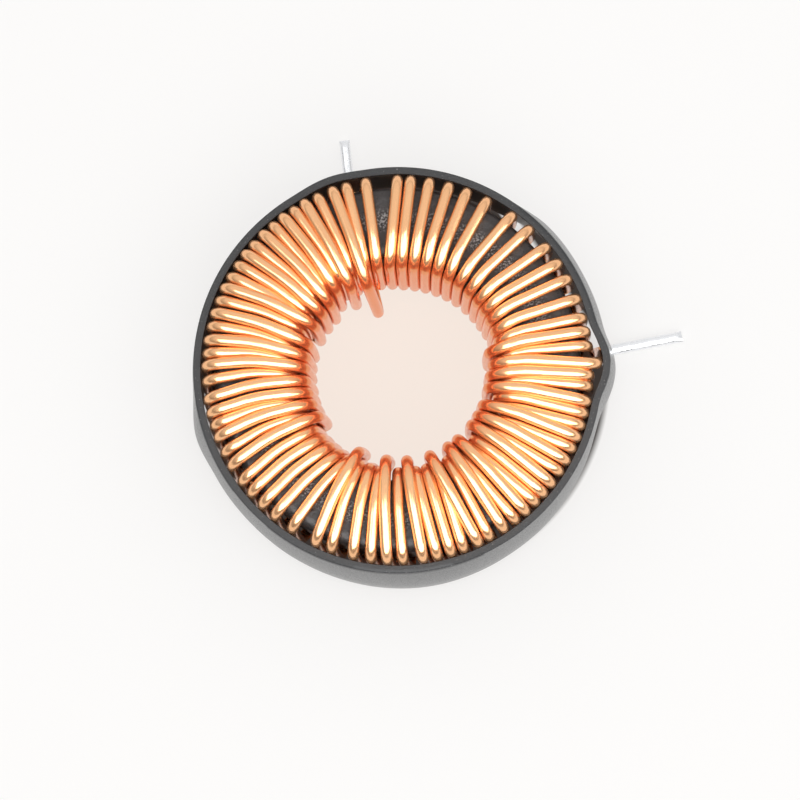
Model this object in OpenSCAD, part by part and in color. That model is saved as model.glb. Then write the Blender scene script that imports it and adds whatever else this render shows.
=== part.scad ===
// Toroidal inductor lying flat: a coated powder ring core, one thick enamelled copper wire wound
// round it in two passes, and a cut length of black flexible tube round the outside.
// +Z is up, the coil's axis is Z and the lowest wires touch z = 0. One lead points along +X.

/* [Core] */
// Outer diameter of the coated ring core
core_d = 36.6; // [30:0.1:44]
// Diameter of the core's bore
bore_d = 22.2; // [22:0.1:25]
// Height of the coated ring core
core_h = 11; // [7:0.1:16]
// Radius of the core's edges
core_edge = 1.2; // [1:0.05:1.6]

/* [Wire] */
// Diameter over the enamel
wire_d = 1.15; // [1.1:0.01:1.16]
// Diameter of a stripped and tinned end
tinned_d = 1.1; // [1:0.01:1.12]
// Slack between the wire and what it lies on
wire_slack = 0.08; // [0.04:0.01:0.12]

/* [Winding] */
// Angle between neighbouring turns of one pass where both passes lie together
dense_angle = 8.25; // [8.2:0.05:8.3]
// Angle between neighbouring turns in the bore where one pass lies alone
open_angle = 6.5; // [6.45:0.05:6.55]
// Angle between neighbouring turns of the first pass where it is laid wide
wide_angle = 15.1; // [15:0.1:15.2]
// Angle by which an outer run moves on on its way down
step_angle = 1.5; // [0:0.1:2]
// Largest random shift of a turn's outer end
scatter_angle = 0.12; // [0:0.01:0.15]
// How far a turn of the first pass stands off the core at its inner edge
raise = 1.15; // [1.12:0.01:1.2]
// How far it stands off the core's top at its outer edge
outer_raise = 0.2; // [0.15:0.01:0.3]
// How far the outer runs lean outwards at their foot
outer_lean = 0.35; // [0:0.05:0.4]
// How far the inner runs lean inwards at their foot
inner_lean = 0.1; // [0:0.05:0.1]

/* [Leads] */
// Height of the leads' centre line
lead_z = 0.6; // [0.59:0.01:0.61]
// Distance from the coil's axis to the tip of the lead along +X
finish_reach = 29.5; // [26:0.1:40]
// Distance from the coil's axis to the tip of the other lead
start_reach = 26; // [25:0.1:40]
// Direction of the other lead
start_angle = 85.8; // [80:0.1:95]
// Distance from the coil's axis at which a lead's tinning begins
tinned_from = 21.9; // [21.9:0.1:23]

/* [Sleeve] */
// Wall of the sleeve
sleeve_wall = 0.75; // [0.4:0.05:1.2]
// Height of the sleeve
sleeve_h = 11.5; // [8:0.1:12]
// Height of the sleeve's lower edge
sleeve_z = 1.5; // [1.3:0.05:2]
// How far the sleeve's foot stands out from its upper edge where it flares most
sleeve_flare = 1.36; // [1.3:0.01:1.7]
// Gap between the sleeve's upper edge and the turns
sleeve_fit = 0.04; // [0.02:0.01:0.2]

/* [Hidden] */

core_r = core_d / 2;
bore_r = bore_d / 2;
off = wire_d / 2 + wire_slack;                  // from the core's surface to the wire's centre line
core_z = 2 * off + wire_d + wire_slack / 2;     // two layers of wire lie under the core

// Centre lines of the runs that lie straight on the core, and the radii of their bends
top_z = core_z + core_h + off;
foot_z = core_z - off;
out_r = core_r + off;
in_r = bore_r - off;
top_bend = core_edge + 0.25;
foot_bend = core_edge - 0.2;
half_bend = top_bend * (1 - cos(45));           // how far a bend's middle lies inside its corner

under = foot_z - lead_z;                        // drop of the first pass beneath the second one

// Zones of the winding in the order in which the wire was laid:
// [angle of the first turn in the bore, its angle on the outside, turns,
//  angle between turns in the bore, the same on the outside, 1 for the raised first pass or 0]
zones = [
    [99.6, 99.2, 13, dense_angle, dense_angle, 1],
    [233.6, 233.4, 4, wide_angle, wide_angle, 1],
    [287.2, 287.4, 8, dense_angle, dense_angle, 1],
    [356, 356.8, 1, 0, 0, 0],
    [360.3, 360.7, 1, 0, 0, 1],
    [364.5, 364.6, 7, open_angle, 6.35, 0],
    [410, 411.4, 5, open_angle, 6, 0],
    [442.5, 439.4, 2, open_angle, 9.5, 0],
    [455.5, 454.9, 13, dense_angle, dense_angle, 0],
    [563.2, 564.3, 5, open_angle, 4.9, 0],
    for (i = [0 : 2]) [598 + i * wide_angle, 598.5 + i * wide_angle, 2, 6.6, 5.05, 0],
    [643.1, 643.3, 9, dense_angle, dense_angle, 0],
];
turns = [for (zone = zones) for (i = [0 : zone[2] - 1])
    [zone[0] + i * zone[3], zone[1] + i * zone[4], zone[5]]];
last = len(turns) - 1;

// The first turn hangs loose in the hole, and the last one stands off the coil's outside.
loose_top = 0.3;
loose_foot = 1.9;
stand_off = 0.8;
last_aside = 1.5;                               // angle by which it leans aside

// The lead along +X drops from the last turn, outside its neighbour's foot.
// The other one passes under the outer bends.
finish_y = -0.92;
finish_r = out_r + outer_lean + wire_d + wire_slack / 2;
finish_bend = 0.7;
start_out = 0.675;                              // how far outside the outer runs the start lead bends
start_bend_angle = 94.17;                       // and at which angle round the coil
start_foot = (out_r + start_out) * [cos(start_bend_angle), sin(start_bend_angle)];
start_axis = [cos(start_angle), sin(start_angle)];
start_aside = start_foot - (start_foot * start_axis) * start_axis;
tin_overlap = 0.1;                              // how far the wire reaches into a tinned end
pinch_angle = 28;                               // the cutter's two slants across a lead's tip
pinch_gap = 0.32 * tinned_d;                    // width left between them at the tip

// The wire's cross-section has few sides, so its circle is a little larger than the wire's.
sides = 7;
section_r = 1.03 * wire_d / 2;

// Seeds of the scatter of the turns
seed_step = 12989.8;
seed_spread = 43758.5;

// The sleeve's section, and the bulges that the last and the first turn push out
sleeve_steps = 120;
sleeve_top_z = sleeve_z + sleeve_h;
sleeve_top_r = out_r + wire_d / 2 + sleeve_fit;
belly_z = 5;                                    // the flare ends at this height
flare_power = 1.5;
bulge_fade = 0.5;                               // share of its height that a bulge loses on the way down
// [angle, half width, height, angle by which it moves on on its way down]
bulges = [[351, 12, 0.85, 5], [99.3, 12, 0.2, 0], [154, 40, 0.06, 0]];
// The flare round the sleeve: [angle, share of the whole flare]
flares = [
    [-14, 0.68], [-4, 0.92], [14, 0.86], [34, 1], [50, 0.48], [172, 0.48],
    [186, 1], [204, 0.78], [229, 0.72], [264, 0.8], [300, 0.58], [331, 0.64], [346, 0.68],
];

module core() {
    color([0.2, 0.2, 0.21]) rotate_extrude($fn = 180) translate([bore_r, core_z])
        rounded_box(core_r - bore_r, core_h, core_edge);
}

module rounded_box(w, h, r) {
    translate([r, 0]) square([w - 2 * r, h]);
    translate([0, r]) square([w, h - 2 * r]);
    for (x = [r, w - r], y = [r, h - r]) translate([x, y]) circle(r = r, $fn = 48);
}

module winding() {
    color([0.85, 0.45, 0.2]) {
        tube([for (i = [0 : len(route) - 1]) ring(i)]);
        translate([0, finish_y, lead_z]) tinned_end(tinned_from, finish_reach);
        translate([start_aside.x, start_aside.y, lead_z]) rotate([0, 0, start_angle])
            tinned_end(start_way(tinned_from), start_way(start_reach));
    }
}

// A tinned end along +X, pinched to a blunt edge by the cutter
module tinned_end(from, to) {
    difference() {
        translate([from, 0, 0]) rotate([0, 90, 0]) cylinder(d = tinned_d, h = to - from, $fn = 48);
        for (side = [-1, 1]) translate([to, 0, side * pinch_gap / 2]) rotate([0, side * pinch_angle, 0])
            translate([-2 * tinned_d, -tinned_d, (side - 1) / 2 * tinned_d])
                cube([3, 2, 1] * tinned_d);
    }
}

// The wire's whole route: the lead that starts it, all turns, and the lead that ends it
route = concat(
    [start_point(tinned_from + tin_overlap), [start_foot.x, start_foot.y, lead_z]],
    [for (k = [0 : last]) each turn(k)],
    [polar(finish_r, asin(finish_y / finish_r), lead_z + finish_bend),
     [sqrt(finish_r * finish_r - finish_y * finish_y) + finish_bend, finish_y, lead_z],
     [tinned_from + tin_overlap, finish_y, lead_z]]
);

// One turn: up the bore, out over the top, down the outside and under the core
function turn(k) = let (
    ai = turns[k][0], ao = turns[k][1] + scatter(k), af = ao + step_angle, raised = turns[k][2],
    lift = raised * raise,
    rt = in_r - lift - (k == 0 ? loose_top : 0),
    rf = in_r - lift - inner_lean - (k == 0 ? loose_foot : 0),
    ro = out_r + (k == last ? stand_off : 0),
    rb = out_r + outer_lean,
    zt = top_z + lift,
    zr = top_z + raised * outer_raise,
    zf = foot_z - raised * under,
    zo = foot_z - (k == last ? 0 : raised * turns[k + 1][2]) * under
) concat(
    [polar(rf + foot_bend, ai, zf),
     polar(rf, ai, zf + foot_bend),
     polar(rt, ai, zt - top_bend),
     polar(rt + half_bend, ai, zt - half_bend),
     polar(rt + top_bend, ai, zt),
     polar(ro - top_bend, ao, zr),
     polar(ro - half_bend, ao, zr - half_bend),
     polar(ro, ao, zr - top_bend)],
    k == last ? [] : [polar(rb, af, zo + foot_bend), polar(rb - foot_bend, af, zo)]
);

function polar(r, a, z) = [r * cos(a), r * sin(a), z];

// A repeatable shift of turn k's outer end, in degrees
function scatter(k) = let (s = sin(k * seed_step) * seed_spread)
    k == last ? last_aside : scatter_angle * (2 * (s - floor(s)) - 1);

// The start lead's line: the way along it to a point at a reach from the coil's axis, and that point
function start_way(reach) = sqrt(reach * reach - start_aside * start_aside);
function start_point(reach) = let (p = start_aside + start_way(reach) * start_axis) [p.x, p.y, lead_z];

// The wire's section at point i of the route, mitred where the route bends
function ring(i) = let (
    n = len(route),
    before = unit(i == 0 ? route[1] - route[0] : route[i] - route[i - 1]),
    after = unit(i == n - 1 ? route[i] - route[i - 1] : route[i + 1] - route[i]),
    along = unit(before + after),
    around = unit([-route[i].y, route[i].x, 0]),
    side = unit(around - (around * along) * along),
    up = cross(along, side) / sqrt((1 + before * after) / 2)
) [for (a = [0 : 360 / sides : 359]) route[i] + section_r * (cos(a) * side + sin(a) * up)];

function unit(v) = v / norm(v);

module sleeve() {
    heights = [sleeve_z, belly_z, (belly_z + sleeve_top_z) / 2, sleeve_top_z];
    color([0.12, 0.12, 0.12]) shell(
        [for (z = heights) sleeve_outline(z, sleeve_wall)],
        [for (z = heights) sleeve_outline(z, 0)]
    );
}

function sleeve_outline(z, wall) = [for (i = [0 : sleeve_steps - 1]) let (a = 360 * i / sleeve_steps)
    polar(sleeve_r(a, z) + wall, a, z)];

// Radius of the sleeve's inner face
function sleeve_r(a, z) = let (t = min(1, (sleeve_top_z - z) / (sleeve_top_z - belly_z)))
    sleeve_top_r + sleeve_flare * flare(a) * (1 - pow(1 - t, flare_power))
    + sum([for (b = bulges) b[2] * hump(((a - b[0] - b[3] * t + 540) % 360 - 180) / b[1])])
        * (1 - bulge_fade * t);

// The share of the flare at an angle, in smooth steps between the flares' angles
function flare(a) = let (
    at = a < flares[len(flares) - 1][0] ? a : a - 360,
    i = max([for (j = [0 : len(flares) - 1]) if (flares[j][0] <= at) j]),
    from = flares[i],
    to = flares[i + 1],
    t = (at - from[0]) / (to[0] - from[0])
) from[1] + (to[1] - from[1]) * t * t * (3 - 2 * t);

// A smooth hump of height 1 and half width 1 round 0, where 1 stands for a bulge's half width
function hump(x) = abs(x) < 1 ? 0.5 + 0.5 * cos(180 * x) : 0;

function sum(v) = [for (x = v) 1] * v;

// A closed tube through rings of points
module tube(rings) {
    n = len(rings);
    s = len(rings[0]);
    polyhedron(
        points = [for (r = rings) each r],
        faces = concat(
            [[for (j = [0 : s - 1]) j]],
            [for (i = [0 : n - 2]) for (j = [0 : s - 1]) let (a = i * s + j, b = i * s + (j + 1) % s)
                each [[a, a + s, b], [b, a + s, b + s]]],
            [[for (j = [s - 1 : -1 : 0]) (n - 1) * s + j]]
        )
    );
}

// A ring wall between two stacks of outlines, lowest first
module shell(outer, inner) {
    n = len(outer);
    s = len(outer[0]);
    size = n * s;
    function quad(a, b, c, d) = [[a, b, c], [a, c, d]];
    polyhedron(
        points = concat([for (o = outer) each o], [for (o = inner) each o]),
        faces = [for (j = [0 : s - 1]) let (k = (j + 1) % s, top = (n - 1) * s) each concat(
            [for (i = [0 : n - 2]) each quad(i * s + j, (i + 1) * s + j, (i + 1) * s + k, i * s + k)],
            [for (i = [0 : n - 2]) each quad(size + i * s + k, size + (i + 1) * s + k,
                size + (i + 1) * s + j, size + i * s + j)],
            quad(top + j, size + top + j, size + top + k, top + k),
            quad(k, size + k, size + j, j)
        )]
    );
}

core();
winding();
sleeve();
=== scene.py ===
"""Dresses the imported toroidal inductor: enamelled copper wire, tinned ends, coated core and tube sleeve.

Lengths are in millimetres and angles in degrees, seen from above, until MM makes them metres.
"""

import math

import bpy
from mathutils import Matrix, Vector


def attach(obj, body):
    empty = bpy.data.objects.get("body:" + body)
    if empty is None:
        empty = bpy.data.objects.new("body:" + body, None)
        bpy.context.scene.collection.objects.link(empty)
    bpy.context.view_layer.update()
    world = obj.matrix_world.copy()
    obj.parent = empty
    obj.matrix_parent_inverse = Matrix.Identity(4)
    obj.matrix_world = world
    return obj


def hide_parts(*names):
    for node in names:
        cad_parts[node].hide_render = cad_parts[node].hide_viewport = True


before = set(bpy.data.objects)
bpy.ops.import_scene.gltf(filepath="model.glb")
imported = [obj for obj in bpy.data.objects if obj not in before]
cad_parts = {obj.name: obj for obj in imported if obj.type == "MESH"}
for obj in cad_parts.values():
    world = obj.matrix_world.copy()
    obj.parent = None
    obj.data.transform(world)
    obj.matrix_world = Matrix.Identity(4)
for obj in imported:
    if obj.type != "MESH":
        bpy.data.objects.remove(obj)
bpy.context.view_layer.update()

MM = 0.001

# ---- sizes shared with the solids ----

CORE_D = 36.6
BORE_D = 22.2
CORE_H = 11.0
CORE_EDGE = 1.2
WIRE_D = 1.15
TINNED_D = 1.1
WIRE_SLACK = 0.08
STEP_ANGLE = 1.5
RAISE = 1.15
OUTER_RAISE = 0.2
OUTER_LEAN = 0.35
LEAD_Z = 0.6
FINISH_REACH = 29.5
START_REACH = 26.0
START_ANGLE = 85.8
TINNED_FROM = 21.9
TIN_OVERLAP = 0.1
SLEEVE_WALL = 0.75
SLEEVE_H = 11.5
SLEEVE_Z = 1.5
SLEEVE_FLARE = 1.36
SLEEVE_FIT = 0.04

OFF = WIRE_D / 2 + WIRE_SLACK
CORE_Z = 2 * OFF + WIRE_D + WIRE_SLACK / 2
TOP_Z = CORE_Z + CORE_H + OFF
FOOT_Z = CORE_Z - OFF
OUT_R = CORE_D / 2 + OFF
IN_R = BORE_D / 2 - OFF
FOOT_BEND = CORE_EDGE - 0.2
UNDER = FOOT_Z - LEAD_Z
SLEEVE_TOP_Z = SLEEVE_Z + SLEEVE_H
SLEEVE_TOP_R = OUT_R + WIRE_D / 2 + SLEEVE_FIT
BELLY_Z = 5.0             # the sleeve is widest from here down

# ---- the wire ----

ENAMEL = 0.02
WIRE_SIDES = 14

# Where each turn lies, in the order in which the wire was laid: its angle in the bore and on the outside.
# A turn of the first pass has a third value: how much of RAISE it stands off the core by.
FIRST_PASS = (
    (99.1, 99, 1), (108.8, 108.3, 1), (117, 116, 0.5), (125.1, 123.9, 1), (133, 131.9, 1),
    (141.9, 143.9, 1), (153.8, 152.1, 1), (161.7, 160.5, 1), (168.7, 168.3, 1), (176.8, 178.4, 1),
    (184.3, 182.6, 1), (191.6, 190.2, 1), (200.1, 199.6, 1), (234.3, 234, 1), (252.1, 256, 1),
    (264.9, 266.7, 1), (279.5, 283.8, 1), (291.9, 292.4, 1), (299.3, 300.7, 1), (306.3, 308.2, 0),
    (311.8, 312, 1), (318.8, 320.1, 1), (325.9, 327.8, 1), (337.1, 338.9, 1), (344.5, 346.9, 1),
)
CROSSING = ((-5.4, -4.4), (-1.4, -0.1, 1))
SECOND_PASS = (
    (3.7, 4.2), (9.8, 10.1), (16.3, 16.7), (22.5, 22.2), (28.9, 28.2), (35.8, 35.6), (43.1, 42.2),
    (49.9, 51), (56.7, 57.6), (63.5, 63.3), (70.1, 69.3), (76.8, 75), (83.5, 79), (90.3, 88.7),
    (96.9, 94.7), (104.3, 103.9), (111.2, 112.1), (122.4, 119.9), (129.6, 128.1), (137.5, 135.9),
    (142.2, 140), (147.2, 148), (158.2, 156.1), (165.1, 164.5), (172.8, 172.9), (187.8, 186.4),
    (195.6, 195.1), (205.1, 205.2), (211.5, 209.6), (218, 214.4), (224.6, 219.4), (231, 225.8),
    (237.5, 239), (243.7, 245.7), (249.9, 251.1), (259.5, 260.7), (269, 271), (275.2, 275.2),
    (281.4, 279.1), (287.6, 287.5), (293.8, 296.7), (300.1, 304.7), (313.8, 316.3), (320.3, 324.2),
    (326.8, 331.6), (333.4, 335.3), (341, 343.6), (348.9, 350),
)

# The first turn hangs loose in the bore: how far in its top and foot hang, and by what angle the foot turns.
LOOSE_TOP = 0.3
LOOSE_FOOT = 1.9
LOOSE_TWIST = 2.5
# The last turn: the angle by which it moves on in the bore, and how far it stands off the outside.
LAST_TWIST = 2.5
STAND_OFF = 0.8

# The start lead leaves the coil at this bend.
START_BEND_R = OUT_R + 0.675
START_BEND_ANGLE = 94.17
START_BEND = 0.8
# The finish lead lies along the line y = FINISH_Y, and the wire comes down to it at FINISH_R.
FINISH_Y = -0.92
FINISH_R = OUT_R + OUTER_LEAN + WIRE_D + WIRE_SLACK / 2
FINISH_BEND = 0.7

# A run over the core rises to a knee, which lies at a share of its way out and a little aside.
# Both change with the rightness of the turn, which is 1 at angle 0 and -1 at angle 180.
KNEE_SHARE = 0.37
RAISED_KNEE_SHARE = 0.42
KNEE_SWAY = 0.1
BOW = 0.35
BOW_LEVEL = 0.15          # rightness at which a run doesn't bow
RAISED_CROWN = 0.62       # how far a run that crosses over others rises to its knee
# How far the other runs rise to their knees: angle, height
TOP_CROWNS = ((-6, 0.35), (10, 0.65), (44, 0.6), (92, 0.58), (112, 0.35), (354, 0.35))
TOP_LIFT = 0.45           # share of its lift that a turn keeps over the bore's edge
SIDE_CROWN = 0.1          # how far a run in the bore or on the outside arches

# Radius of the bends
INNER_BEND = 2.3          # over the bore's edge
RAISED_BEND = 2.8         # over the bore's edge, in a turn that crosses over others
OUTER_BEND = 1.7          # over the core's outer edge
KNEE_BEND = 16.0
# How much of the runs beside it a bend may take, by its radius, and any other bend
BEND_SHARES = {INNER_BEND: 0.7, RAISED_BEND: 0.7, KNEE_BEND: 0.28}
OTHER_SHARE = 0.45
BEND_STEPS = 8
ARCH_STEPS = 6            # pieces of an arched run
RUN_STEPS = 2             # pieces of a straight one

# How far the turns' feet hang into the bore: angle, distance
FOOT_LEANS = (
    (-11, 0.0), (29, 0.45), (74, 0.65), (97, 0.35), (117, 0.0), (154, 0.1), (184, 0.3), (217, 0.75),
    (245, 0.85), (265, 0.5), (289, 0.15), (319, 0.1), (349, 0.0),
)
# How much further out the turns' feet stand on the outside: angle, distance
OUTER_STANDS = ((-8, 0.0), (4, 0.0), (12, 0.65), (36, 0.75), (52, 0.0), (352, 0.0))

# ---- the tinned ends ----

LEAD_SIDES = 40
LEAD_RINGS = 28
CUT_HEIGHT = 0.3          # share of the height that the cutter left at the tip
CUT_LENGTH = 0.9          # length over which a full height would be pinched away
CUT_SPREAD = 1.02         # how much wider the pinched part is

# ---- the sleeve ----

SLEEVE_STEPS = 480
SLEEVE_LEVELS = 14
SLEEVE_EDGE = 0.06
# Bulges: angle, half width, height, angle by which one moves on on its way down
BULGES = ((351, 13, 0.85, -1), (99.3, 12, 0.2, 0), (154, 40, 0.06, 0))
BULGE_FADE = 0.05         # share of a bulge that is gone at the belly
# The flare round the sleeve: angle, share of the whole flare
FLARES = (
    (-14, 0.6), (-3, 0.82), (14, 0.86), (34, 1.0), (50, 0.48), (172, 0.48), (186, 0.95), (198, 0.7),
    (212, 0.66), (229, 0.7), (264, 0.8), (300, 0.58), (320, 0.46), (334, 0.33), (346, 0.58),
)
FLARE_POWER = 1.5

# ---- colours ----

COPPER = (0.95, 0.52, 0.26, 1)
# painted shade and copper-on-copper reflection: the wire's colour in the bore
COPPER_BORE_SHADE = (0.93, 0.38, 0.17, 1)
COPPER_GLOSS = (0.93, 0.68, 0.56, 1)
BORE_SHADE_R = (9.4, 11.2)       # the copper's painted bore shade fades into its own colour between these distances from the axis
TIN = (0.9, 0.91, 0.93, 1)
COATING = (0.05, 0.045, 0.045, 1)
# painted glints: the light specks on the core's coat
GLINT_SPECK = (0.45, 0.45, 0.45, 1)
GLINT_RING_R = (13.6, 16.2)        # the core's painted glints lie between these distances from the axis
TUBE = (0.028, 0.029, 0.031, 1)
# painted light and copper reflection: the tube's inside, as black as the rest, painted lighter and brownish
TUBE_INSIDE_PAINTED_LIGHT = (0.25, 0.22, 0.195, 1)
BLACK = (0, 0, 0, 1)
WHITE = (1, 1, 1, 1)

# ---- surroundings ----

RIGHT_SIDE = -11.0        # the direction that lies to the right of the camera
FAR_SIDE = RIGHT_SIDE + 90

CAMERA_ELEVATION = 84.0
CAMERA_SIDE = -88.0
CAMERA_DISTANCE = 300.0
CAMERA_AIM = Vector((-0.34, -3.14, 13))
SENSOR = 36
FOCAL_LENGTH = SENSOR * 3019.0 / 800

FLOOR_HALF = 2.0          # metres
FLOOR_Z = -0.00003        # metres
FLOOR_COLOR = (0.8, 0.79, 0.78, 1)
# The floor in the hole, under the coil and all round it: the colour it takes light with, and its glow. Under
# the coil both are dark, a painted shadow; in the hole the glow is painted warm light from the copper.
HOLE_DIM = (0.08, 0.08, 0.08, 1)
UNDER_SHADOW_DIM = (0.04, 0.04, 0.04, 1)
FLOOR_DIM = (0.3, 0.3, 0.3, 1)
# painted light: the warm glow in the hole stands in for light the copper throws there
HOLE_BOUNCE_GLOW = (0.85, 0.76, 0.69, 1)
UNDER_SHADOW_GLOW = (0.04, 0.032, 0.028, 1)
FLOOR_GLOW = (0.68, 0.67, 0.66, 1)
# Distances at which these tones change, within a span
FLOOR_SPAN = 30.0
HOLE_R = 10.6
UNDER_SHADOW_R = (11.4, 20.5)
FLOOR_R = 21.2
UNDER_SHADOW_SHIFT = 0.7         # the tones' rings, and the painted shadow with them, lie this far off the axis
UNDER_SHADOW_SIDE = 29
OPEN_LIGHT_SIDE = 23            # where the sleeve stands off the coil: a band of painted light lifts the painted shadow there, so floor shows between them
OPEN_LIGHT_BAND = (18.3, 20)

SKY_LOW = (0.25, 0.25, 0.25, 1)
SKY_HIGH = (0.9, 0.9, 0.9, 1)
SKY_TOP = 0.75            # the sky is at its lightest from here up
SKY_TILT = 0.45           # the sky is lighter low over the far side

# Level lamps over the coil: height in metres, the angles of their left, right, near and far edges from the
# zenith, radiance, and whether matt surfaces take their light
PANELS = {
    "key_panel": (0.5, -25, 58, -60, 2, 0.85, True),
    "sheen_panel_east": (0.51, 0, 40, -60, 2, 4.0, False),
    "sheen_panel_far_east": (0.51, 40, 72, -60, -15, 4.0, False),
    "sheen_panel_south": (0.51, -19, 0, -60, -13, 4.0, False),
    "sheen_panel_west": (0.51, -40, -19, -60, 2, 4.0, False),
}


# ---- measuring ----

def polar(radius, angle, z):
    """A point by its distance from the coil's axis, its angle and its height."""
    a = math.radians(angle)
    return Vector((radius * math.cos(a), radius * math.sin(a), z))


def round_value(table, a):
    """The value at an angle, in smooth steps between the angles of a table that goes once round."""
    a = (a - table[0][0]) % 360 + table[0][0]
    for (a0, f0), (a1, f1) in zip(table, table[1:]):
        if a <= a1:
            t = (a - a0) / (a1 - a0)
            return f0 + (f1 - f0) * t * t * (3 - 2 * t)
    return table[-1][1]


def hump(x):
    """A smooth hill, 1 high at 0, that ends at -1 and 1."""
    return 0.5 + 0.5 * math.cos(math.pi * x) if abs(x) < 1 else 0


# ---- shader helpers ----

def new_material(name):
    material = bpy.data.materials.new(name)
    material.use_nodes = True
    nodes = material.node_tree.nodes
    shader = next(n for n in nodes if n.type == "BSDF_PRINCIPLED")
    return material, nodes, material.node_tree.links, shader


def object_place(nodes):
    return nodes.new("ShaderNodeTexCoord").outputs["Object"]


def vector_math(nodes, links, operation, vector, by=(0, 0, 0)):
    step = nodes.new("ShaderNodeVectorMath")
    step.operation = operation
    step.inputs[1].default_value = by
    links.new(vector, step.inputs[0])
    return step.outputs["Value" if operation in ("LENGTH", "DOT_PRODUCT") else "Vector"]


def axis_distance(nodes, links):
    """How far a point lies from the coil's axis."""
    flat = vector_math(nodes, links, "MULTIPLY", object_place(nodes), (1, 1, 0))
    return vector_math(nodes, links, "LENGTH", flat)


def mapped_noise(nodes, links, vector, scale, detail=3, stretch=(1, 1, 1)):
    """Noise at a scale in cycles for each metre, drawn out where stretch is small."""
    mapping = nodes.new("ShaderNodeMapping")
    mapping.inputs["Scale"].default_value = stretch
    texture = nodes.new("ShaderNodeTexNoise")
    texture.inputs["Scale"].default_value = scale
    texture.inputs["Detail"].default_value = detail
    links.new(vector, mapping.inputs["Vector"])
    links.new(mapping.outputs["Vector"], texture.inputs["Vector"])
    return texture.outputs["Fac"]


def spread(nodes, links, value, low, high, to_low=0, to_high=1):
    ranged = nodes.new("ShaderNodeMapRange")
    ranged.inputs["From Min"].default_value = low
    ranged.inputs["From Max"].default_value = high
    ranged.inputs["To Min"].default_value = to_low
    ranged.inputs["To Max"].default_value = to_high
    links.new(value, ranged.inputs["Value"])
    return ranged.outputs["Result"]


def tones(nodes, links, value, *stops):
    """Colours that blend into each other, each given with the value at which it lies."""
    ramp = nodes.new("ShaderNodeValToRGB")
    elements = ramp.color_ramp.elements
    elements[0].position, elements[0].color = stops[0]
    elements[1].position, elements[1].color = stops[-1]
    for position, color in stops[1:-1]:
        elements.new(position).color = color
    links.new(value, ramp.inputs["Fac"])
    return ramp.outputs["Color"]


def vary_roughness(nodes, links, shader, noise, smoothest, roughest):
    """Roughness that follows the middle part of a noise."""
    links.new(spread(nodes, links, noise, 0.3, 0.7, smoothest, roughest), shader.inputs["Roughness"])


def add_bump(nodes, links, shader, height, depth, after=None):
    bump = nodes.new("ShaderNodeBump")
    bump.inputs["Distance"].default_value = depth * MM
    bump.inputs["Strength"].default_value = 1
    links.new(height, bump.inputs["Height"])
    if after:
        links.new(after, bump.inputs["Normal"])
    links.new(bump.outputs["Normal"], shader.inputs["Normal"])
    return bump.outputs["Normal"]


# ---- materials ----

def wire_grain(nodes, links):
    """A place on the wire: across its section, and along its whole length."""
    section = nodes.new("ShaderNodeAttribute")
    section.attribute_name = "section"
    along = nodes.new("ShaderNodeAttribute")
    along.attribute_name = "along"
    apart = nodes.new("ShaderNodeSeparateXYZ")
    grain = nodes.new("ShaderNodeCombineXYZ")
    links.new(section.outputs["Vector"], apart.inputs["Vector"])
    links.new(apart.outputs["X"], grain.inputs["X"])
    links.new(apart.outputs["Y"], grain.inputs["Y"])
    links.new(along.outputs["Fac"], grain.inputs["Z"])
    return grain.outputs["Vector"]


def enamelled_copper():
    """Drawn wire with fine streaks along it under clear enamel, and a deeper, redder colour painted in the
    bore: painted shade and copper reflection.
    """
    material, nodes, links, shader = new_material("enamelled_copper")
    grain = wire_grain(nodes, links)
    streaks = mapped_noise(nodes, links, grain, scale=5200, detail=4, stretch=(1, 1, 0.06))
    dents = mapped_noise(nodes, links, grain, scale=900, detail=2, stretch=(1, 1, 0.5))
    vary_roughness(nodes, links, shader, streaks, smoothest=0.15, roughest=0.27)
    near, far = BORE_SHADE_R
    # Painted shade: the copper turns deeper and redder towards the axis, in the bore.
    out_of_bore = spread(nodes, links, axis_distance(nodes, links), near * MM, far * MM)
    tint = tones(nodes, links, out_of_bore, (0, COPPER_BORE_SHADE), (1, COPPER))
    links.new(tint, shader.inputs["Base Color"])
    shader.inputs["Metallic"].default_value = 0.8
    shader.inputs["Specular Tint"].default_value = COPPER_GLOSS
    shader.inputs["Coat Weight"].default_value = 0.3
    shader.inputs["Coat Roughness"].default_value = 0.12
    shader.inputs["Coat IOR"].default_value = 1.5
    rough = add_bump(nodes, links, shader, streaks, depth=0.003)
    add_bump(nodes, links, shader, dents, depth=0.03, after=rough)
    return material


def tinned_copper():
    """Solder over bare wire, a little lumpy."""
    material, nodes, links, shader = new_material("tinned_copper")
    lumps = mapped_noise(nodes, links, object_place(nodes), scale=1100)
    vary_roughness(nodes, links, shader, lumps, smoothest=0.18, roughest=0.34)
    shader.inputs["Base Color"].default_value = TIN
    shader.inputs["Metallic"].default_value = 1
    add_bump(nodes, links, shader, lumps, depth=0.05)
    return material


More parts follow.
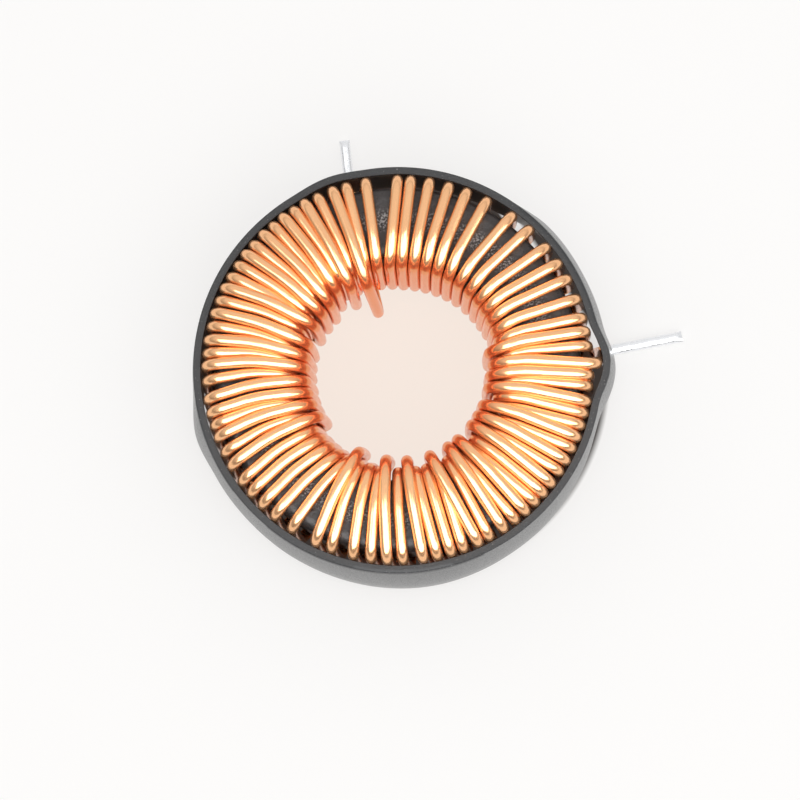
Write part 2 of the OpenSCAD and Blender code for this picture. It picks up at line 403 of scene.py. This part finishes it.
def core_coating():
    """A satin powder coat with light specks painted in a ring round the middle of its faces: painted glints
    where the coat mirrors the lamps.
    """
    material, nodes, links, shader = new_material("core_coating")
    place = object_place(nodes)
    peel = mapped_noise(nodes, links, place, scale=2600)
    glint_noise = mapped_noise(nodes, links, place, scale=5200, detail=2)
    near, far = GLINT_RING_R
    across = spread(nodes, links, axis_distance(nodes, links), near * MM, far * MM)
    # Painted glints: light specks only in a ring, where the coat mirrors the lamps.
    glint_ring = tones(nodes, links, across, (0, BLACK), (0.35, WHITE), (0.65, WHITE), (1, BLACK))
    speck = nodes.new("ShaderNodeMath")
    speck.operation = "MULTIPLY"
    links.new(glint_ring, speck.inputs[0])
    links.new(spread(nodes, links, glint_noise, 0.5, 0.62), speck.inputs[1])
    tint = tones(nodes, links, speck.outputs["Value"], (0, COATING), (1, GLINT_SPECK))
    links.new(tint, shader.inputs["Base Color"])
    vary_roughness(nodes, links, shader, peel, smoothest=0.25, roughest=0.42)
    shader.inputs["Specular IOR Level"].default_value = 0.4
    add_bump(nodes, links, shader, peel, depth=0.05)
    return material


def black_tube(name, specular, smoothest, roughest, specks, tone=TUBE):
    """The tube: glossy outside, dull where it was cut and inside, with a few light specks on the cut. A
    lighter tone, as on the inside, is painted light.
    """
    material, nodes, links, shader = new_material(name)
    fine = mapped_noise(nodes, links, object_place(nodes), scale=6000)
    vary_roughness(nodes, links, shader, fine, smoothest, roughest)
    shader.inputs["Specular IOR Level"].default_value = specular
    speck = spread(nodes, links, fine, 0.66, 0.76)
    tint = tones(nodes, links, speck, (0, tone), (1, (specks, specks, specks, 1)))
    links.new(tint, shader.inputs["Base Color"])
    add_bump(nodes, links, shader, fine, depth=0.03)
    return material


# ---- geometry nodes ----

def new_tree(name, sockets):
    tree = bpy.data.node_groups.new(name, "GeometryNodeTree")
    tree.interface.new_socket("Geometry", in_out="INPUT", socket_type="NodeSocketGeometry")
    for label, kind in sockets:
        tree.interface.new_socket(label, in_out="INPUT", socket_type=kind)
    tree.interface.new_socket("Geometry", in_out="OUTPUT", socket_type="NodeSocketGeometry")
    return tree, tree.nodes.new("NodeGroupInput"), tree.nodes.new("NodeGroupOutput")


def end_tree(tree, geometry, start, end):
    realize = tree.nodes.new("GeometryNodeRealizeInstances")
    paint = tree.nodes.new("GeometryNodeSetMaterial")
    tree.links.new(geometry, realize.inputs["Geometry"])
    tree.links.new(realize.outputs["Geometry"], paint.inputs["Geometry"])
    tree.links.new(start.outputs["Material"], paint.inputs["Material"])
    tree.links.new(paint.outputs["Geometry"], end.inputs["Geometry"])


def store(tree, geometry, name, kind, value):
    keep = tree.nodes.new("GeometryNodeStoreNamedAttribute")
    keep.data_type = kind
    keep.domain = "POINT"
    keep.inputs["Name"].default_value = name
    tree.links.new(geometry, keep.inputs["Geometry"])
    tree.links.new(value, keep.inputs["Value"])
    return keep.outputs["Geometry"]


def drawn_wire_tree():
    """A path of edges becomes round wire that knows its way along and its place round the section."""
    tree, start, end = new_tree("drawn_wire", (
        ("Wire radius", "NodeSocketFloat"), ("Sides", "NodeSocketInt"), ("Material", "NodeSocketMaterial")))
    path = tree.nodes.new("GeometryNodeMeshToCurve")
    way = tree.nodes.new("GeometryNodeSplineParameter")
    circle = tree.nodes.new("GeometryNodeCurvePrimitiveCircle")
    place = tree.nodes.new("GeometryNodeInputPosition")
    sweep = tree.nodes.new("GeometryNodeCurveToMesh")
    smooth = tree.nodes.new("GeometryNodeSetShadeSmooth")
    tree.links.new(start.outputs["Geometry"], path.inputs["Mesh"])
    tree.links.new(start.outputs["Wire radius"], circle.inputs["Radius"])
    tree.links.new(start.outputs["Sides"], circle.inputs["Resolution"])
    marked_path = store(tree, path.outputs["Curve"], "along", "FLOAT", way.outputs["Length"])
    marked_circle = store(tree, circle.outputs["Curve"], "section", "FLOAT_VECTOR", place.outputs["Position"])
    tree.links.new(marked_path, sweep.inputs["Curve"])
    tree.links.new(marked_circle, sweep.inputs["Profile Curve"])
    sweep.inputs["Fill Caps"].default_value = True
    tree.links.new(sweep.outputs["Mesh"], smooth.inputs["Geometry"])
    end_tree(tree, smooth.outputs["Geometry"], start, end)
    return tree


def bake_nodes(source, tree, name, values):
    """Runs a tree on a mesh and returns the result as a plain mesh object."""
    modifier = source.modifiers.new(name, "NODES")
    modifier.node_group = tree
    for item in tree.interface.items_tree:
        if item.in_out == "INPUT" and item.name in values:
            modifier[item.identifier] = values[item.name]
    source.update_tag()
    graph = bpy.context.evaluated_depsgraph_get()
    mesh = bpy.data.meshes.new_from_object(source.evaluated_get(graph), depsgraph=graph)
    source.modifiers.remove(modifier)
    bpy.data.objects.remove(source)
    piece = bpy.data.objects.new(name, mesh)
    mesh.name = name
    bpy.context.scene.collection.objects.link(piece)
    return piece


# ---- meshes ----

def mesh_object(name, verts, edges, faces):
    mesh = bpy.data.meshes.new(name)
    mesh.from_pydata([tuple(Vector(v) * MM) for v in verts], edges, faces)
    mesh.update()
    piece = bpy.data.objects.new(name, mesh)
    bpy.context.scene.collection.objects.link(piece)
    return piece


def ring_faces(rows, around, closed=False):
    """Faces between rows of points that each go once round. Closed joins the last row to the first."""
    return [(i * around + j, i * around + (j + 1) % around,
             (i + 1) % rows * around + (j + 1) % around, (i + 1) % rows * around + j)
            for i in range(rows if closed else rows - 1) for j in range(around)]


def shade(piece, angle=35):
    """Smooth shading that keeps the edges sharper than an angle."""
    piece.data.shade_smooth()
    piece.data.set_sharp_from_angle(angle=math.radians(angle))


# ---- the wire's route ----

STRAIGHT = Vector((0, 0, 0))


def lead_point(reach):
    """The point of the start lead's line at a distance from the coil's axis."""
    foot = polar(START_BEND_R, START_BEND_ANGLE, 0)
    axis = polar(1, START_ANGLE, 0)
    aside = foot - foot.dot(axis) * axis
    return aside + math.sqrt(reach ** 2 - aside.length_squared) * axis + Vector((0, 0, LEAD_Z))


def turn_corners(k, turns):
    """The corners of one turn, each with its bend's radius and the arching of the run that follows."""
    last = len(turns) - 1
    inner, outer, *share = turns[k]
    raised = bool(share)
    lift = RAISE * share[0] if raised else 0
    foot = outer + STEP_ANGLE
    loose = k == 0
    bore_foot = polar(IN_R - lift - (LOOSE_FOOT if loose else round_value(FOOT_LEANS, inner)),
                      inner - (LOOSE_TWIST if loose else 0), FOOT_Z - (UNDER if raised else 0))
    inward, outward = polar(-SIDE_CROWN, inner, 0), polar(SIDE_CROWN, outer, 0)
    if k == last:
        inner += LAST_TWIST
        lift = RAISE
    outer_z = FOOT_Z - (UNDER if raised and k < last and len(turns[k + 1]) == 3 else 0)
    rightness = math.cos(math.radians(inner))
    top = polar(IN_R - lift - (LOOSE_TOP if loose else 0), inner, TOP_Z + TOP_LIFT * lift)
    edge = polar(OUT_R + (STAND_OFF if k == last else 0), outer, TOP_Z + (OUTER_RAISE if raised else 0))
    crown = RAISED_CROWN if lift else round_value(TOP_CROWNS, inner)
    knee = top.lerp(edge, (RAISED_KNEE_SHARE if lift else KNEE_SHARE) - KNEE_SWAY * rightness)
    knee += polar(BOW * (rightness - BOW_LEVEL), inner + 90, crown)
    yield bore_foot, FOOT_BEND, inward
    yield top, RAISED_BEND if lift else INNER_BEND, STRAIGHT
    yield knee, KNEE_BEND, STRAIGHT
    yield edge, OUTER_BEND, outward
    if k < last:
        yield polar(OUT_R + OUTER_LEAN + round_value(OUTER_STANDS, foot), foot, outer_z), FOOT_BEND, STRAIGHT


def wire_corners():
    """The corners of the whole wire, given as turn_corners gives them."""
    turns = FIRST_PASS + CROSSING + SECOND_PASS
    yield lead_point(TINNED_FROM + TIN_OVERLAP), 0, STRAIGHT
    yield polar(START_BEND_R, START_BEND_ANGLE, LEAD_Z), START_BEND, STRAIGHT
    for k in range(len(turns)):
        yield from turn_corners(k, turns)
    finish_a = math.degrees(math.asin(FINISH_Y / FINISH_R))
    yield polar(FINISH_R, finish_a, LEAD_Z), FINISH_BEND, STRAIGHT
    yield Vector((TINNED_FROM + TIN_OVERLAP, FINISH_Y, LEAD_Z)), 0, STRAIGHT


def bend_points(before, corner, after, radius):
    """An arc of that radius, or as near as its share of the runs allows, that rounds a corner."""
    if radius == 0:
        return [corner]
    share = BEND_SHARES.get(radius, OTHER_SHARE)
    into = (corner - before).normalized()
    out = (after - corner).normalized()
    turning = into.angle(out)
    room = share * min((corner - before).length, (after - corner).length)
    reach = min(radius * math.tan(turning / 2), room)
    r = reach / math.tan(turning / 2)
    start = corner - reach * into
    inward = (out - out.dot(into) * into).normalized()
    centre = start + r * inward
    angles = [turning * i / BEND_STEPS for i in range(BEND_STEPS + 1)]
    return [centre + r * (math.sin(a) * into - math.cos(a) * inward) for a in angles]


def wire_path():
    """The points of the whole wire, from the start lead to the finish lead."""
    corners = list(wire_corners())
    points = []
    arch = STRAIGHT
    for i, (corner, radius, next_arch) in enumerate(corners):
        before = corners[i - 1][0] if i else corner
        after = corners[i + 1][0] if i + 1 < len(corners) else corner
        bend = bend_points(before, corner, after, radius)
        if points:
            start = points[-1]
            steps = ARCH_STEPS if arch.length else RUN_STEPS
            for j in range(1, steps):
                t = j / steps
                points.append(start.lerp(bend[0], t) + 4 * t * (1 - t) * arch)
        points += bend
        arch = next_arch
    return points


# ---- pieces ----

def finish_piece(piece, slot, *nodes):
    """Says what a piece rides on and which solids it stands for, and hides those; the slot is not used."""
    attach(piece, "root")
    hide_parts(*nodes)


def add_wire():
    points = wire_path()
    source = mesh_object("wire_path", points, [(i, i + 1) for i in range(len(points) - 1)], [])
    wire = bake_nodes(source, drawn_wire_tree(), "copper_wire", {
        "Wire radius": (WIRE_D / 2 + ENAMEL) * MM, "Sides": WIRE_SIDES, "Material": enamelled_copper()})
    finish_piece(wire, "copper_wire", "winding")


def tinned_end(name, start, along, length, material):
    """A tinned end from a point, pinched to a blunt edge by the cutter."""
    upward = Vector((0, 0, 1))
    side = upward.cross(along).normalized()
    verts = []
    for i in range(LEAD_RINGS + 1):
        t = i / LEAD_RINGS * length
        pinch = min(1, CUT_HEIGHT + (length - t) / CUT_LENGTH)
        widening = 1.0 if pinch == 1 else CUT_SPREAD
        for j in range(LEAD_SIDES):
            a = 2 * math.pi * j / LEAD_SIDES
            across = math.cos(a) * side * widening + math.sin(a) * pinch * upward
            verts.append(start + t * along + TINNED_D / 2 * across)
    faces = ring_faces(LEAD_RINGS + 1, LEAD_SIDES)
    faces.append(tuple(range(LEAD_SIDES - 1, -1, -1)))
    faces.append(tuple(LEAD_RINGS * LEAD_SIDES + j for j in range(LEAD_SIDES)))
    piece = mesh_object(name, verts, [], faces)
    piece.data.materials.append(material)
    shade(piece)
    finish_piece(piece, "copper_wire", "winding")


def add_leads():
    """The two tinned ends, which lie level on the board."""
    material = tinned_copper()
    tinned_end("finish_lead", Vector((TINNED_FROM, FINISH_Y, LEAD_Z)), Vector((1, 0, 0)),
               FINISH_REACH - TINNED_FROM, material)
    start, tip = lead_point(TINNED_FROM), lead_point(START_REACH)
    tinned_end("start_lead", start, (tip - start).normalized(), (tip - start).length, material)


def sleeve_r(a, z):
    """Radius of the sleeve's inner face."""
    t = min(1, (SLEEVE_TOP_Z - z) / (SLEEVE_TOP_Z - BELLY_Z))
    flare = SLEEVE_FLARE * round_value(FLARES, a) * (1 - (1 - t) ** FLARE_POWER)
    bulge = 0
    for at, half, height, on in BULGES:
        bulge += height * hump(((a - at - on * t + 540) % 360 - 180) / half)
    return SLEEVE_TOP_R + flare + bulge * (1 - BULGE_FADE * t)


def add_sleeve():
    heights = [SLEEVE_Z + SLEEVE_H * i / SLEEVE_LEVELS for i in range(1, SLEEVE_LEVELS)]
    low, high = SLEEVE_Z + SLEEVE_EDGE, SLEEVE_TOP_Z - SLEEVE_EDGE
    cut = (SLEEVE_EDGE, SLEEVE_WALL / 2, SLEEVE_WALL - SLEEVE_EDGE)
    inner = [(0, z) for z in (low, *heights, high)]
    over = [(w, SLEEVE_TOP_Z) for w in cut]
    outer = [(SLEEVE_WALL, z) for z in (high, *reversed(heights), low)]
    under = [(w, SLEEVE_Z) for w in reversed(cut)]
    section = inner + over + outer + under
    angles = [360 * i / SLEEVE_STEPS for i in range(SLEEVE_STEPS)]
    verts = [polar(sleeve_r(a, z) + w, a, z) for a in angles for w, z in section]
    piece = mesh_object("tube_sleeve", verts, [], ring_faces(SLEEVE_STEPS, len(section), closed=True))
    finishes = piece.data.materials
    finishes.append(black_tube("black_tube", specular=1.0, smoothest=0.22, roughest=0.32, specks=0.04))
    finishes.append(black_tube("cut_tube", specular=0.38, smoothest=0.4, roughest=0.55, specks=0.35))
    # The inside is the same black tube painted lighter and brownish: painted light and copper reflection.
    finishes.append(black_tube("tube_inside_painted_light", specular=0.5, smoothest=0.3, roughest=0.4, specks=0.12,
                               tone=TUBE_INSIDE_PAINTED_LIGHT))
    outer_start = len(inner) + len(over)
    for face in piece.data.polygons:
        place = face.index % len(section)
        if outer_start <= place < outer_start + len(outer) - 1:
            face.material_index = 0
        elif place < len(inner) - 2:
            face.material_index = 2
        else:
            face.material_index = 1
    shade(piece, angle=40)
    finish_piece(piece, "black_tube", "sleeve")


# ---- camera, floor and light ----

def add_camera():
    rise = math.radians(CAMERA_ELEVATION)
    back = polar(math.cos(rise), CAMERA_SIDE, math.sin(rise))
    right = polar(1, RIGHT_SIDE, 0)
    right = (right - right.dot(back) * back).normalized()
    up = back.cross(right)
    turn = Matrix((right, up, back)).transposed().to_4x4()
    camera = bpy.data.objects.new("camera", bpy.data.cameras.new("camera"))
    camera.matrix_world = Matrix.Translation((CAMERA_AIM + CAMERA_DISTANCE * back) * MM) @ turn
    camera.data.sensor_width = SENSOR
    camera.data.lens = FOCAL_LENGTH
    camera.data.clip_start = 0.01
    camera.data.clip_end = 20
    bpy.context.scene.collection.objects.link(camera)
    bpy.context.scene.camera = camera


def floor_tone(nodes, links, inside, under, outside):
    """A colour of the floor: one in the hole, one under the coil, which is painted shadow, and one all round,
    which also fills a band of painted light where the sleeve stands off the coil.
    """
    place = object_place(nodes)
    moved = vector_math(nodes, links, "SUBTRACT", place, polar(UNDER_SHADOW_SHIFT, UNDER_SHADOW_SIDE, 0) * MM)
    reach = spread(nodes, links, vector_math(nodes, links, "LENGTH", moved), 0, FLOOR_SPAN * MM)
    under_from, under_to = UNDER_SHADOW_R
    rings = tones(nodes, links, reach, (HOLE_R / FLOOR_SPAN, inside), (under_from / FLOOR_SPAN, under),
                  (under_to / FLOOR_SPAN, under), (FLOOR_R / FLOOR_SPAN, outside), (1, outside))
    # Painted light: in a band where the sleeve stands off the coil, the floor takes its tone from all round.
    near, far = OPEN_LIGHT_BAND
    aside = vector_math(nodes, links, "DOT_PRODUCT", place, polar(1, OPEN_LIGHT_SIDE, 0))
    across = spread(nodes, links, aside, near * MM, far * MM)
    light_band = tones(nodes, links, across, (0, BLACK), (0.2, WHITE), (0.7, WHITE), (1, BLACK))
    light_patch = nodes.new("ShaderNodeMix")
    light_patch.data_type = "RGBA"
    light_patch.inputs["B"].default_value = outside
    links.new(light_band, light_patch.inputs["Factor"])
    links.new(rings, light_patch.inputs["A"])
    return light_patch.outputs["Result"]


def seen_rays(nodes, links):
    """1 for what the camera, gloss and glass see, and 0 for other light."""
    path = nodes.new("ShaderNodeLightPath")
    seen = path.outputs["Is Camera Ray"]
    for kind in ("Is Glossy Ray", "Is Transmission Ray"):
        either = nodes.new("ShaderNodeMath")
        either.operation = "MAXIMUM"
        links.new(seen, either.inputs[0])
        links.new(path.outputs[kind], either.inputs[1])
        seen = either.outputs["Value"]
    return seen


def add_floor():
    """A pale floor that shows almost white and keeps the coil's shadow, with a painted shadow under the coil,
    painted warm light in the hole and a band of painted light where the sleeve stands off.
    """
    mesh = bpy.data.meshes.new("floor")
    corners = [(x * FLOOR_HALF, y * FLOOR_HALF, FLOOR_Z) for x, y in ((-1, -1), (1, -1), (1, 1), (-1, 1))]
    mesh.from_pydata(corners, [], [(0, 1, 2, 3)])
    floor = bpy.data.objects.new("floor", mesh)
    bpy.context.scene.collection.objects.link(floor)
    material = bpy.data.materials.new("pale_floor")
    material.use_nodes = True
    nodes, links = material.node_tree.nodes, material.node_tree.links
    nodes.clear()
    out = nodes.new("ShaderNodeOutputMaterial")
    plain = nodes.new("ShaderNodeBsdfDiffuse")
    plain.inputs["Color"].default_value = FLOOR_COLOR
    dim = nodes.new("ShaderNodeBsdfDiffuse")
    # Both tones paint a shadow under the coil and warm light in the hole, and a band of light where the
    # sleeve stands off.
    links.new(floor_tone(nodes, links, HOLE_DIM, UNDER_SHADOW_DIM, FLOOR_DIM), dim.inputs["Color"])
    glow = nodes.new("ShaderNodeEmission")
    links.new(floor_tone(nodes, links, HOLE_BOUNCE_GLOW, UNDER_SHADOW_GLOW, FLOOR_GLOW), glow.inputs["Color"])
    add = nodes.new("ShaderNodeAddShader")
    mix = nodes.new("ShaderNodeMixShader")
    links.new(dim.outputs[0], add.inputs[0])
    links.new(glow.outputs[0], add.inputs[1])
    links.new(seen_rays(nodes, links), mix.inputs[0])
    links.new(plain.outputs[0], mix.inputs[1])
    links.new(add.outputs[0], mix.inputs[2])
    links.new(mix.outputs[0], out.inputs["Surface"])
    floor.data.materials.append(material)


def add_world():
    """A pale sky, lighter overhead."""
    world = bpy.data.worlds.new("studio")
    world.use_nodes = True
    nodes, links = world.node_tree.nodes, world.node_tree.links
    nodes.clear()
    out = nodes.new("ShaderNodeOutputWorld")
    sky = nodes.new("ShaderNodeBackground")
    direction = nodes.new("ShaderNodeTexCoord").outputs["Generated"]
    height = vector_math(nodes, links, "DOT_PRODUCT", direction, polar(SKY_TILT, FAR_SIDE, 1))
    tone = tones(nodes, links, height, (0, SKY_LOW), (SKY_TOP, SKY_HIGH), (1, SKY_HIGH))
    links.new(tone, sky.inputs["Color"])
    links.new(sky.outputs[0], out.inputs["Surface"])
    bpy.context.scene.world = world


def overhead(east, north):
    """A direction given by its slope from the zenith, in degrees to the right and towards the far side."""
    right, far = polar(1, RIGHT_SIDE, 0), polar(1, FAR_SIDE, 0)
    return Vector((0, 0, 1)) + math.tan(math.radians(east)) * right + math.tan(math.radians(north)) * far


def add_panel(name, height, west, east, south, north, radiance, for_diffuse):
    """A level lamp over the coil, with its edges at these angles from the zenith."""
    low, high = overhead(west, south) * height, overhead(east, north) * height
    lamp = bpy.data.lights.new(name, "AREA")
    lamp.shape = "RECTANGLE"
    lamp.size = (high - low).dot(polar(1, RIGHT_SIDE, 0))
    lamp.size_y = (high - low).dot(polar(1, FAR_SIDE, 0))
    lamp.energy = radiance * math.pi * lamp.size * lamp.size_y
    panel = bpy.data.objects.new(name, lamp)
    turn = Matrix.Rotation(math.radians(RIGHT_SIDE), 4, "Z")
    panel.matrix_world = Matrix.Translation((low + high) / 2) @ turn
    panel.visible_diffuse = for_diffuse
    bpy.context.scene.collection.objects.link(panel)


add_camera()
add_world()
add_floor()
for name, panel in PANELS.items():
    add_panel(name, *panel)
add_wire()
add_leads()
add_sleeve()
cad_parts["core"].data.materials.clear()
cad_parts["core"].data.materials.append(core_coating())

bpy.context.scene.view_settings.view_transform = "Standard"
